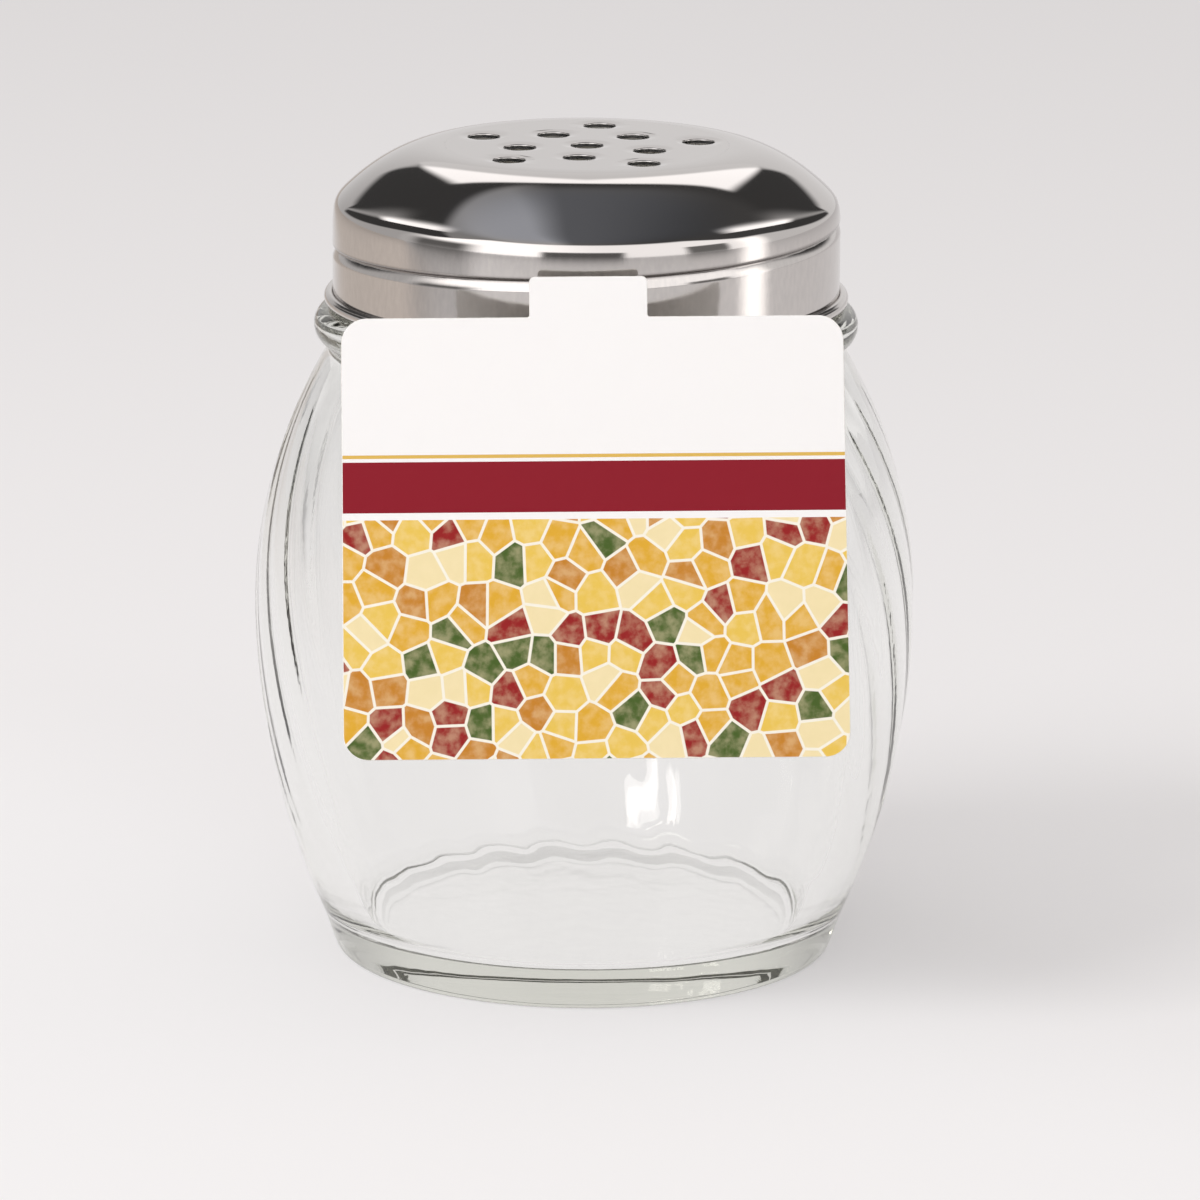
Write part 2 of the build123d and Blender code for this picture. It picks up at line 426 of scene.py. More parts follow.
def make_glass_jar(material):
    """Turned outline of the jar with flutes sunk into the barrel and a thread ridge round the neck."""
    outline = jar_outline()
    radius, height = outline.T
    on_neck = (radius > mouth_radius + lip_radius) & (height > neck_base_height)
    rows = rows_by_bend(outline, jar_rows, neck_row_weight * on_neck)
    radius, height = rows[:, :1], rows[:, 1:]
    outer = np.arange(jar_rows)[:, None] < np.argmax(height > rim_height - lip_radius)
    angle = 2 * math.pi * np.arange(jar_columns)[None, :] / jar_columns
    barrel = outer & (height > heel_height) & (height < throat_height)
    flutes = np.where(barrel, flute_drop(height, angle), 0)
    neck = outer & (height > neck_base_height)
    wide = radius - flutes + np.where(neck, ridge_rise(height, angle), 0)
    points = turned_grid(*np.broadcast_arrays(wide, height, angle))
    return new_piece("swirl_glass_jar", points, grid_faces(jar_rows, jar_columns), material)


def lid_section():
    """Run round the lid's sheet, in to the curl's end and back out.

    The dome falls as the square of the way out, and the sheet lies half its thickness each side of its line.
    """
    middle = lid_sheet / 2
    skirt_line = skirt_radius - middle
    top_line = lid_top_height - middle
    hem_centre = hem_bottom_height + hem_radius + middle
    way_out = np.linspace(0, 1, lid_rows)
    dome_radius = dome_start_radius + (skirt_line - skirt_lean - dome_start_radius) * way_out
    dome = np.stack([dome_radius, top_line - (top_line - crease_height) * way_out ** 2], axis=1)
    skirt = [(skirt_line, crease_height - skirt_lean_height), (skirt_line, hem_centre)]
    sheet = even_path(np.concatenate([[(plate_radius, top_line)], dome, skirt]), lid_spacing)
    sheet = softened(sheet, crease_softness, lid_spacing)
    sheet = rows_by_bend(sheet, lid_rows, skirt_row_weight * (sheet[:, 1] < crease_height))[:-1]
    curl_centre = (skirt_line + hem_radius, hem_centre)
    curl = circle_arc(curl_centre, hem_radius, 180, 180 + hem_curl_angle, lid_spacing)
    line = np.concatenate([sheet, curl, [curl_centre + np.array([0, hem_radius])]])
    run = np.gradient(line, axis=0)
    run /= np.linalg.norm(run, axis=1)[:, None]
    out = np.stack([-run[:, 1], run[:, 0]], axis=1)
    turn = np.radians([45, 90, 135])[:, None]
    tip = line[-1] + middle * (np.sin(turn) * run[-1] - np.cos(turn) * out[-1])
    return np.concatenate([line - middle * out, tip, (line + middle * out)[::-1]])


def lid_shell():
    """Turned sheet of the lid, pressed in along the thread: points, faces, their finish and the painted
    groove shade.
    """
    section = lid_section()
    radius, height = section.T[:, :, None]
    angle = np.radians(outer_ring_angle + 360 * np.arange(lid_columns) / lid_columns)[None, :]
    points = turned_grid(*np.broadcast_arrays(radius - groove_press(height, angle), height, angle))
    faces = grid_faces(len(radius), lid_columns)
    shade = groove_shade(height, angle).reshape(-1)
    row = faces[:, 0] // lid_columns
    inside = (row < len(section) // 2) & (section[row, 1] > hem_bottom_height + 2 * hem_radius + lid_sheet)
    finish = np.where(inside, SATIN, POLISHED)
    return points.reshape(-1, 3), faces, finish, shade


def cell_edge(low, high, centre_angle):
    """Edge of one plate cell, counter-clockwise: out along one side, round, back in and round again."""
    half = lid_columns // (2 * holes_per_ring)
    steps = np.arange(-half, half)
    sides = cell_side_steps
    share = np.arange(sides) / sides
    columns = np.concatenate([np.full(sides, -half), steps, np.full(sides, half), -steps])
    angles = np.radians(columns * (360 / lid_columns) + centre_angle)
    radii = np.concatenate([
        low + (high - low) * share, np.full(2 * half, high),
        high + (low - high) * share, np.full(2 * half, low)])
    return np.stack([radii * np.cos(angles), radii * np.sin(angles)], axis=1)


def hole_cell(edge, centre):
    """Plate cell round one hole: in from its edge, over the hole's rounded rim, down and back out below."""
    spokes = edge - centre
    out = spokes / np.linalg.norm(spokes, axis=1)[:, None]
    hole = hole_diameter / 2
    turn = np.radians(np.arange(0, 91, 22.5))
    rim_reach = hole + hole_edge_radius * (1 - np.sin(turn))
    rim_drop = hole_dimple + hole_edge_radius * (1 - np.cos(turn))
    share = np.linspace(0, 1, hole_rows, endpoint=False)[:, None, None]
    rim_edge = centre + rim_reach[0] * out
    inward = edge + (rim_edge - edge) * share
    gap = np.linalg.norm(inward - rim_edge, axis=2, keepdims=True)
    dip = hole_dimple * hump(gap, hole_dimple_width)
    top = np.concatenate([inward, lid_top_height - dip], axis=2)
    rim_places = centre + rim_reach[:, None, None] * out
    rim_heights = np.broadcast_to((lid_top_height - rim_drop)[:, None, None], rim_places[:, :, :1].shape)
    rim = np.concatenate([rim_places, rim_heights], axis=2)
    below = top[::-1].copy()
    below[:, :, 2] -= lid_sheet
    foot = rim[:1].copy()
    foot[:, :, :2] = centre + hole * out
    foot[:, :, 2] = lid_top_height - lid_sheet - hole_dimple
    points = np.concatenate([top, rim, foot, below])
    faces = grid_faces(len(points), len(edge))
    row = faces[:, 0] // len(edge)
    wall_row = len(top) + len(rim) - 1
    # The wall row of each hole takes the dark punched finish: painted shade inside the hole
    finish = np.where(row < wall_row, POLISHED, np.where(row == wall_row, PUNCHED_SHADED, SATIN))
    return points.reshape(-1, 3), faces, finish, np.zeros(points.shape[:2]).reshape(-1)


def perforated_plate():
    """Cells of the lid's flat top, one about each hole: the middle, the inner ring and the outer ring."""
    inner, outer = ring_boundaries
    turn = np.radians(outer_ring_angle + 360 * np.arange(lid_columns) / lid_columns)
    cells = [(inner * np.stack([np.cos(turn), np.sin(turn)], axis=1), np.zeros(2))]
    half_step = 180 / holes_per_ring
    rings = [(inner, outer, inner_ring_radius, half_step), (outer, plate_radius, outer_ring_radius, 0)]
    for low, high, radius, offset in rings:
        for hole in range(holes_per_ring):
            place = outer_ring_angle + offset + 2 * half_step * hole
            centre = radius * np.array([math.cos(math.radians(place)), math.sin(math.radians(place))])
            cells.append((cell_edge(low, high, place), centre))
    return [hole_cell(edge, centre) for edge, centre in cells]


def make_shaker_lid(materials):
    """Turned sheet and perforated plate welded into one lid, with its three finishes."""
    points, faces, finishes, shades = zip(*[lid_shell()] + perforated_plate())
    first = np.cumsum([0] + [len(part) for part in points])
    faces = np.concatenate([part + start for part, start in zip(faces, first)])
    return new_piece("pressed_steel_lid", np.concatenate(points), faces, *materials,
                     finish=np.concatenate(finishes), shade=np.concatenate(shades))


def make_rim_seal(material):
    """Turned flat ring with rounded edges."""
    inner = mouth_radius + seal_mouth_clearance
    outer = skirt_inner_radius - seal_side_clearance
    low, high = rim_height, rim_height + seal_thickness
    middle = (inner + outer) / 2
    corners = [(middle, low), (outer, low), (outer, high), (inner, high), (inner, low), (middle, low)]
    rows = rounded_path(corners, [seal_edge_radius] * 4, seal_spacing)
    angle = 2 * math.pi * np.arange(lid_columns)[None, :] / lid_columns
    points = turned_grid(*np.broadcast_arrays(rows[:, :1], rows[:, 1:], angle))
    faces = grid_faces(len(rows), lid_columns, wrap_rows=True)
    return new_piece("rim_liner", points, faces, material)


def card_frame():
    """Place of the tab's top on the card's back, the card's three directions and the way down to the pad.

    The card's back starts clear of the hem and leans until it touches the pad on the upper bulge.
    """
    top_height = lid_top_height - tab_drop
    top_reach = hem_outer_radius + card_lid_clearance
    stand_off = upper_bulge + pad_thickness
    across = top_reach - (belly_radius - upper_bulge)
    up = top_height - belly_height
    span = math.hypot(across, up)
    touch = math.sqrt(span * span - stand_off * stand_off)
    lean = math.atan2(stand_off, touch) - math.atan2(across, up)
    origin = np.array([0, -top_reach, top_height])
    level = np.array([1.0, 0, 0])
    outward = np.array([0, -math.cos(lean), math.sin(lean)])
    upright = np.cross(outward, level)
    turn = math.radians(card_turn)
    across_card = math.cos(turn) * level + math.sin(turn) * upright
    return origin, across_card, np.cross(outward, across_card), outward, touch


def card_edge():
    """Outline of the card and its tab, counter-clockwise seen from the front, from the tab's top middle."""
    left, right = card_shift - card_width / 2, card_shift + card_width / 2
    tab_left, tab_right = tab_shift - tab_width / 2, tab_shift + tab_width / 2
    top, bottom = -tab_height, -tab_height - card_height
    top_left, top_right = left + card_taper_left, right - card_taper_right
    corners = [(tab_shift, 0), (tab_left, 0), (tab_left, top), (top_left, top), (left, bottom),
               (right, bottom), (top_right, top), (tab_right, top), (tab_right, 0), (tab_shift, 0)]
    tab_radii = [tab_corner_radius, tab_foot_radius]
    radii = tab_radii + [card_corner_radius] * 4 + tab_radii[::-1]
    return rounded_path(corners, radii, card_spacing)


def make_front_label(print_material, board_material):
    """Card's outline carried round its thin edge, closed by a flat front and back."""
    origin, x_axis, up, outward, _ = card_frame()
    edge = card_edge()
    run = np.roll(edge, -1, axis=0) - np.roll(edge, 1, axis=0)
    run /= np.linalg.norm(run, axis=1)[:, None]
    out = np.stack([run[:, 1], -run[:, 0]], axis=1)
    turn = np.radians([90, 60, 30, 0])
    inset = card_edge_radius * (1 - np.cos(turn))
    rise = card_edge_radius * np.sin(turn)
    insets = np.concatenate([inset, inset[::-1]])
    depths = np.concatenate([card_edge_radius - rise, card_thickness - card_edge_radius + rise[::-1]])
    flat = edge[None] - out[None] * insets[:, None, None]
    points = origin + flat[..., :1] * x_axis + flat[..., 1:] * up + depths[:, None, None] * outward
    rows, columns = points.shape[:2]
    faces = grid_faces(rows, columns).tolist()
    last = (rows - 1) * columns
    faces += [list(range(columns))[::-1], list(range(last, last + columns))]
    piece = new_piece("printed_card", points, faces, board_material, weld=False)
    mesh = piece.data
    mesh.materials.append(print_material)
    mesh.polygons[len(faces) - 1].material_index = 1
    for cap in (-1, -2):
        mesh.polygons[cap].use_smooth = False
    corner = np.zeros(len(mesh.loops), np.int32)
    mesh.loops.foreach_get("vertex_index", corner)
    across = (flat[..., 0] - card_shift) / card_width + 0.5
    along = (flat[..., 1] + tab_height) / card_height + 1
    uv = np.stack([across.reshape(-1), along.reshape(-1)], axis=1)
    mesh.uv_layers.new(name="print").data.foreach_set("uv", uv[corner].reshape(-1).astype(np.float32))
    return piece


def glass_depth(front, inward):
    """Distance from points on the card's back to the glass, found by halving the range again and again."""
    low = np.zeros(front.shape[:-1])
    high = np.full(front.shape[:-1], pad_width / 2)
    for _ in range(depth_halvings):
        depth = (low + high) / 2
        place = front + depth[..., None] * inward
        outside = np.hypot(place[..., 0], place[..., 1]) > barrel_radius(place[..., 2], -pad_seat_gap)
        low = np.where(outside, depth, low)
        high = np.where(outside, high, depth)
    return low


def make_label_adhesive(material):
    """Squashed pad: rounded-square rings on the card's back, and the same rings laid on the glass."""
    origin, x_axis, up, outward, touch = card_frame()
    angle = np.linspace(0, 2 * math.pi, pad_columns, endpoint=False)[None, :]
    wave = np.stack([np.cos(angle), np.sin(angle)])
    square = np.sign(wave) * np.abs(wave) ** pad_squareness
    share = np.linspace(0, 1 - pad_bulge, pad_rows)[:, None]
    across = share * square[0] * pad_width / 2
    along = share * square[1] * pad_height / 2 - touch
    front = origin + across[..., None] * x_axis + along[..., None] * up
    back = front - outward * glass_depth(front, -outward)[..., None]
    bulge = (front[-1:] + back[-1:]) / 2
    bulge = bulge + (bulge - (front[:1] + back[:1]) / 2) * pad_bulge
    points = np.concatenate([front, bulge, back[::-1]])
    return new_piece("glue_pad", points, grid_faces(len(points), pad_columns), material)


def new_material(name):
    """Empty node material, its tree and its output node."""
    material = bpy.data.materials.new(name)
    material.use_nodes = True
    tree = material.node_tree
    tree.nodes.clear()
    return material, tree, tree.nodes.new("ShaderNodeOutputMaterial")


def put(tree, socket, value):
    """Links a socket to an input, or sets the input to a plain value."""
    if isinstance(value, bpy.types.NodeSocket):
        tree.links.new(value, socket)
    else:
        socket.default_value = value


def add(tree, kind, inputs=None, **settings):
    """New shader node with its settings and its inputs, each a plain value or a socket to link from."""
    node = tree.nodes.new("ShaderNode" + kind)
    for key, value in settings.items():
        setattr(node, key, value)
    for key, value in (inputs or {}).items():
        put(tree, node.inputs[key], value)
    return node


def calc(tree, operation, *values):
    """Result of one math node."""
    node = add(tree, "Math", operation=operation)
    for index, value in enumerate(values):
        put(tree, node.inputs[index], value)
    return node.outputs[0]


def span(tree, value, low, high, out_low=0.0, out_high=1.0):
    """Value carried from one range to another with smooth ends and no overshoot."""
    node = add(tree, "MapRange", {0: value, 1: low, 2: high, 3: out_low, 4: out_high},
               interpolation_type="SMOOTHSTEP")
    return node.outputs[0]


def blend_colour(tree, share, first, second):
    """Colour that goes from the first to the second as share goes from 0 to 1."""
    node = add(tree, "Mix", {0: share, 6: first, 7: second}, data_type="RGBA")
    return node.outputs[2]


def colour_steps(tree, value, stops, constant=False):
    """Colour ramp with the given (place, colour) stops."""
    node = add(tree, "ValToRGB", {0: value})
    ramp = node.color_ramp
    ramp.interpolation = "CONSTANT" if constant else "LINEAR"
    while len(ramp.elements) < len(stops):
        ramp.elements.new(0.5)
    for element, (place, colour) in zip(ramp.elements, stops):
        element.position = place
        element.color = colour
    return node.outputs[0]


def grain_group():
    """Shared effect: a fine grain value and its normal, on Object coordinates, with a size and a height."""
    group = bpy.data.node_groups.new("fine_grain", "ShaderNodeTree")
    for name, value in (("Scale", 900.0), ("Height", 0.2)):
        socket = group.interface.new_socket(name, in_out="INPUT", socket_type="NodeSocketFloat")
        socket.default_value = value
    group.interface.new_socket("Grain", in_out="OUTPUT", socket_type="NodeSocketFloat")
    group.interface.new_socket("Normal", in_out="OUTPUT", socket_type="NodeSocketVector")
    ends = group.nodes.new("NodeGroupInput"), group.nodes.new("NodeGroupOutput")
    place = add(group, "TexCoord").outputs["Object"]
    noise = add(group, "TexNoise", {"Vector": place, "Scale": ends[0].outputs["Scale"], "Detail": 4.0})
    bump = add(group, "Bump", {
        "Height": noise.outputs[0], "Strength": ends[0].outputs["Height"], "Distance": 0.0001})
    group.links.new(noise.outputs[0], ends[1].inputs["Grain"])
    group.links.new(bump.outputs[0], ends[1].inputs["Normal"])
    return group


def use_group(tree, group, **values):
    """Node group placed in a material with its own values."""
    node = tree.nodes.new("ShaderNodeGroup")
    node.node_tree = group
    for key, value in values.items():
        node.inputs[key].default_value = value
    return node


def clear_glass():
    """Clear pressed glass with a faint green body and a softly uneven surface."""
    material, tree, output = new_material("clear_pressed_glass")
    place = add(tree, "TexCoord").outputs["Object"]
    sway = add(tree, "TexNoise", {"Vector": place, "Scale": 130.0, "Detail": 2.0})
    bump = add(tree, "Bump", {"Height": sway.outputs[0], "Strength": 0.08, "Distance": 0.0006})
    shader = add(tree, "BsdfPrincipled", {
        "Base Color": (1, 1, 1, 1), "Roughness": 0.0, "IOR": 1.5, "Transmission Weight": 1.0,
        "Normal": bump.outputs[0]})
    tint = add(tree, "VolumeAbsorption", {"Color": (0.80, 0.805, 0.765, 1), "Density": 34.0})
    tree.links.new(shader.outputs[0], output.inputs["Surface"])
    tree.links.new(tint.outputs[0], output.inputs["Volume"])
    return material


def polished_steel():
    """Polished stainless sheet with an uneven polish, faint drawing lines down the skirt and painted shade
    along the groove's step.
    """
    material, tree, output = new_material("polished_stainless")
    place = add(tree, "TexCoord").outputs["Object"]
    axes = add(tree, "SeparateXYZ", {0: place})
    flat = add(tree, "CombineXYZ", {0: axes.outputs[0], 1: axes.outputs[1]})
    round_way = add(tree, "VectorMath", {0: flat.outputs[0]}, operation="NORMALIZE")
    line_stretch, line_roughness, cloud_roughness, least_roughness = 12.0, 0.12, 0.05, 0.03
    fade_height, groove_shade_strength = 2.0, 0.9
    height = calc(tree, "MULTIPLY", axes.outputs[2], line_stretch)
    lift = add(tree, "CombineXYZ", {2: height})
    drawn_place = add(tree, "VectorMath", {0: round_way.outputs[0], 1: lift.outputs[0]}, operation="ADD")
    drawn = add(tree, "TexNoise", {"Vector": drawn_place.outputs[0], "Scale": 60.0, "Detail": 5.0})
    cloud = add(tree, "TexNoise", {"Vector": place, "Scale": 140.0, "Detail": 3.0})
    skirt = span(tree, axes.outputs[2], (crease_height - fade_height) * MM, crease_height * MM, 1.0, 0.0)
    lines = calc(tree, "MULTIPLY", drawn.outputs[0], skirt)
    drawn_rough = calc(tree, "MULTIPLY", lines, line_roughness)
    cloud_rough = calc(tree, "MULTIPLY", cloud.outputs[0], cloud_roughness)
    roughness = calc(tree, "ADD", calc(tree, "ADD", drawn_rough, cloud_rough), least_roughness)
    tone = span(tree, lines, 0.2, 0.8)
    colour = blend_colour(tree, tone, (0.585, 0.56, 0.545, 1), (0.64, 0.61, 0.59, 1))
    # Painted shade: the groove's step is darkened towards near black by the lid's shade attribute
    shade = add(tree, "Attribute", attribute_name="shade").outputs["Fac"]
    painted_shade_share = calc(tree, "MULTIPLY", shade, groove_shade_strength)
    colour = blend_colour(tree, painted_shade_share, colour, (0.09, 0.075, 0.07, 1))
    bump = add(tree, "Bump", {"Height": lines, "Strength": 0.03, "Distance": 0.0001})
    shader = add(tree, "BsdfPrincipled", {
        "Base Color": colour, "Metallic": 1.0, "Roughness": roughness, "Normal": bump.outputs[0]})
    tree.links.new(shader.outputs[0], output.inputs["Surface"])
    return material


def printed_card(grain):
    """Coated card: white head, crimson ribbon and a mosaic of warm tiles, all on the card's own UV map."""
    material, tree, output = new_material("printed_card_front")
    uv = add(tree, "UVMap", uv_map="print").outputs[0]
    axes = add(tree, "SeparateXYZ", {0: uv})
    along = axes.outputs[1]
    size = (card_width, card_height, 0)
    scaled = add(tree, "VectorMath", {0: uv, 1: size}, operation="MULTIPLY").outputs[0]
    tiling = {"Vector": scaled, "Scale": 0.3, "Randomness": 0.85}
    tiles = add(tree, "TexVoronoi", tiling, voronoi_dimensions="2D", feature="F1")
    edges = add(tree, "TexVoronoi", tiling, voronoi_dimensions="2D", feature="DISTANCE_TO_EDGE")
    pick = add(tree, "SeparateColor", {0: tiles.outputs["Color"]}).outputs[0]
    ochre, amber, rust = (0.74, 0.40, 0.03, 1), (0.82, 0.55, 0.09, 1), (0.56, 0.22, 0.02, 1)
    wine, olive, cream = (0.30, 0.010, 0.010, 1), (0.06, 0.11, 0.015, 1), (0.88, 0.74, 0.42, 1)
    tile_shares = [(0.0, ochre), (0.26, amber), (0.46, rust), (0.58, wine), (0.74, olive), (0.86, cream)]
    tile = colour_steps(tree, pick, tile_shares, constant=True)
    mottle = add(tree, "TexNoise", {"Vector": scaled, "Scale": 0.7, "Detail": 4.0}, noise_dimensions="2D")
    tile = blend_colour(tree, span(tree, mottle.outputs[0], 0.3, 0.8, 0.0, 0.3), tile, (0.95, 0.80, 0.50, 1))
    grout = span(tree, edges.outputs["Distance"], 0.035, 0.06)
    mosaic = blend_colour(tree, grout, (0.93, 0.88, 0.76, 1), tile)
    white = (0.92, 0.905, 0.895, 1)
    crimson = (0.25, 0.004, 0.015, 1)
    gold = (0.72, 0.46, 0.10, 1)
    ribbon_low, ribbon_high, rule = 0.56, 0.675, 0.008
    colour = blend_colour(tree, calc(tree, "GREATER_THAN", along, ribbon_low - 2 * rule), mosaic, white)
    colour = blend_colour(tree, band(tree, along, ribbon_low, ribbon_high), colour, crimson)
    colour = blend_colour(tree, band(tree, along, ribbon_high + rule, ribbon_high + 2 * rule), colour, gold)
    fibre = use_group(tree, grain, Scale=2500.0, Height=0.06)
    roughness = span(tree, fibre.outputs["Grain"], 0.2, 0.8, 0.3, 0.42)
    shader = add(tree, "BsdfPrincipled", {
        "Base Color": colour, "Roughness": roughness, "Specular IOR Level": 0.3,
        "Normal": fibre.outputs["Normal"]})
    tree.links.new(shader.outputs[0], output.inputs["Surface"])
    return material


def band(tree, value, low, high):
    """1 where the value lies between two limits, otherwise 0."""
    above = calc(tree, "GREATER_THAN", value, low)
    return calc(tree, "MULTIPLY", above, calc(tree, "LESS_THAN", value, high))


def grained(name, grain, dark, light, scale, height, low_roughness, high_roughness, **plain):
    """Dull material whose colour, roughness and surface follow the shared fine grain."""
    material, tree, output = new_material(name)
    fine = use_group(tree, grain, Scale=scale, Height=height)
    share = span(tree, fine.outputs["Grain"], 0.3, 0.7)
    colour = blend_colour(tree, share, dark, light)
    roughness = span(tree, fine.outputs["Grain"], 0.2, 0.8, low_roughness, high_roughness)
    shader = add(tree, "BsdfPrincipled", {"Base Color": colour, "Roughness": roughness,
                                          "Normal": fine.outputs["Normal"], **plain})
    tree.links.new(shader.outputs[0], output.inputs["Surface"])
    return material


def floor_material():
    """Pale matte floor, brighter to the front, that also glows to the camera, in metal and through glass."""
    material, tree, output = new_material("pale_floor")
    rays = add(tree, "LightPath").outputs
    direct = calc(tree, "MAXIMUM", rays["Is Camera Ray"], rays["Is Glossy Ray"])
    place = add(tree, "TexCoord").outputs["Object"]
    across, depth, _ = add(tree, "SeparateXYZ", {0: place}).outputs
    # Glow share is larger to the left and front, so the jar's shadow there is painted lighter, as light
    # thrown through the glass; the right keeps more real shadow
    shaded_side = calc(tree, "ADD", across, depth)
    plain = calc(tree, "MULTIPLY", direct, span(tree, shaded_side, -0.03, 0.05, 0.62, 0.33))
    # Seen through glass the floor glows almost fully: painted light in the shadow under the jar
    through = calc(tree, "MULTIPLY", rays["Is Transmission Ray"], 0.9)
    share = calc(tree, "MAXIMUM", plain, through)
    tone = span(tree, depth, -0.1, 0.8, 0.98, 0.79)
    near = span(tree, depth, -0.6, -0.15, 0.78, 1.0)
    strength = calc(tree, "MULTIPLY", tone, near)
    aside = calc(tree, "SUBTRACT", calc(tree, "ABSOLUTE", across), depth)
    sides = span(tree, aside, 0.05, 0.2, 0.0, side_shade)
    shaded = calc(tree, "MULTIPLY", rays["Is Transmission Ray"], sides)
    strength = calc(tree, "MULTIPLY", strength, calc(tree, "SUBTRACT", 1.0, shaded))
    mirrored = calc(tree, "SUBTRACT", rays["Is Glossy Ray"], rays["Is Transmission Ray"])
    left = calc(tree, "MULTIPLY", span(tree, across, -0.3, -0.1, 1.0, 0.0), span(tree, depth, -0.2, 0.0))
    left = calc(tree, "MULTIPLY", mirrored, left)
    matte_colour = blend_colour(tree, left, (0.82, 0.80, 0.80, 1), (0.66, 0.60, 0.55, 1))
    glow_colour = blend_colour(tree, left, (0.94, 0.92, 0.92, 1), (0.76, 0.69, 0.64, 1))
    matte = add(tree, "BsdfDiffuse", {"Color": matte_colour})
    glow = add(tree, "Emission", {"Color": glow_colour, "Strength": strength})
    mixed = add(tree, "MixShader", {0: share, 1: matte.outputs[0], 2: glow.outputs[0]})
    tree.links.new(mixed.outputs[0], output.inputs["Surface"])
    return material


def make_floor():
    """Wide flat floor under the jar, out of the part."""
    half = 20000.0
    points = np.array([[-half, -half, 0], [half, -half, 0], [half, half, 0], [-half, half, 0]])
    floor = new_piece("floor", points, np.array([[0, 1, 2, 3]]), floor_material(), weld=False)


def soft_room(tree, back, rise):
    """Brightness of the room as glass and matt surfaces see it: pale all round, a little duller overhead."""
    overhead = span(tree, rise, 0.25, 0.85, 0.84, 0.74)
    return calc(tree, "MULTIPLY", overhead, span(tree, back, -0.8, 0.2, 0.85, 1.0))


def wall_light(tree, across, heading):
    """Brightness of the walls: the backdrop is duller to the left, and the front is brighter there."""
    backdrop = span(tree, across, -0.55, 0.05, 0.56, 0.82)
    front = span(tree, across, -0.5, 0.2, 1.9, 1.45)
    change = calc(tree, "SUBTRACT", front, backdrop)
    share = span(tree, heading, -0.35, 0.1, 1.0, 0.0)
    return calc(tree, "ADD", backdrop, calc(tree, "MULTIPLY", change, share))


def wall_top(tree, heading):
    """Rise at which the walls end: high in front, lower at the sides, up in two steps at the backdrop."""
    front = span(tree, heading, -0.6, -0.1, 0.74, 0.5)
    sides = span(tree, heading, -0.1, 0.88, 0.0, -0.4)
    low_backdrop = span(tree, heading, 0.82, 0.86, 0.0, 0.21)
    high_backdrop = span(tree, heading, 0.94, 0.97, 0.0, 0.1)
    backdrop = calc(tree, "ADD", low_backdrop, high_backdrop)
    return calc(tree, "ADD", calc(tree, "ADD", front, sides), backdrop)


def sloped(tree, value, other, slope, start):
    """Value less a straight line of another value, its slope and its start."""
    return calc(tree, "SUBTRACT", calc(tree, "SUBTRACT", value, start), calc(tree, "MULTIPLY", other, slope))


def back_window(tree, left, far):
    """Wide window at the back edge of the ceiling, its far side notched down to the middle."""
    near = span(tree, sloped(tree, far, left, -0.1, 0.9), -0.05, 0.05)
    left_side = span(tree, sloped(tree, left, far, -0.08, -0.36), -0.05, 0.05)
    right_side = span(tree, sloped(tree, left, far, 0.05, 0.49), -0.05, 0.05, 1.0, 0.0)
    notch = sloped(tree, far, calc(tree, "ABSOLUTE", left), 1.8, 1.15)
    bright = span(tree, notch, -0.15, 0.15, 1.55, 0.8)
    end = span(tree, far, 2.4, 2.9, 1.0, 0.0)
    sides = calc(tree, "MULTIPLY", left_side, right_side)
    return calc(tree, "MULTIPLY", calc(tree, "MULTIPLY", near, bright), calc(tree, "MULTIPLY", sides, end))


def overhead_patch(tree, left, far):
    """Dim patch overhead, crisp on its right edge, with a dimmer stretch beyond that."""
    edge = span(tree, sloped(tree, far, left, 1.07, 0.99), -0.1, 0.08, 1.0, 0.0)
    bright = calc(tree, "MULTIPLY", edge, span(tree, left, -0.75, -0.5, 0.26, 0.44))
    bright = calc(tree, "MULTIPLY", bright, span(tree, far, 0.0, 0.7, 1.0, 0.65))
    bright = calc(tree, "MULTIPLY", bright, span(tree, left, -0.26, -0.08, 1.0, 0.0))
    dim = calc(tree, "MULTIPLY", span(tree, left, -0.22, -0.1), span(tree, left, -0.1, 0.6, 0.1, 0.02))
    dim = calc(tree, "MULTIPLY", dim, span(tree, far, 0.55, 0.85, 1.0, 0.0))
    return calc(tree, "ADD", bright, dim)


def side_strips(tree, left, far):
    """Slanting strip of light on each side of the ceiling, soft on its inner edge, crisp on its outer one."""
    side = calc(tree, "ABSOLUTE", left)
    beside = sloped(tree, side, far, 0.588, 0.598)
    along = sloped(tree, far, side, -0.588, 0.54)
    strip = calc(tree, "MULTIPLY", span(tree, beside, -0.1, 0.06), span(tree, beside, 0.18, 0.22, 1.7, 0.0))
    ends = calc(tree, "MULTIPLY", span(tree, along, -0.1, 0.2), span(tree, along, 0.95, 1.4, 1.0, 0.0))
    tail = calc(tree, "ABSOLUTE", sloped(tree, side, far, 0.5, 0.655))
    tail = calc(tree, "MULTIPLY", span(tree, tail, 0.0, 0.24, 0.4, 0.0), span(tree, far, 0.5, 0.9))
    return calc(tree, "ADD", calc(tree, "MULTIPLY", strip, ends), tail)


def ceiling_light(tree, across, back, rise):
    """Brightness of the dark ceiling as a flat sheet overhead, with its window, its patch and its strips."""
    height = calc(tree, "MAXIMUM", rise, 0.2)
    left = calc(tree, "DIVIDE", across, height)
    far = calc(tree, "DIVIDE", back, height)
    dark_sheet = 0.055
    lights = calc(tree, "ADD", back_window(tree, left, far), overhead_patch(tree, left, far))
    return calc(tree, "ADD", calc(tree, "ADD", lights, dark_sheet), side_strips(tree, left, far))


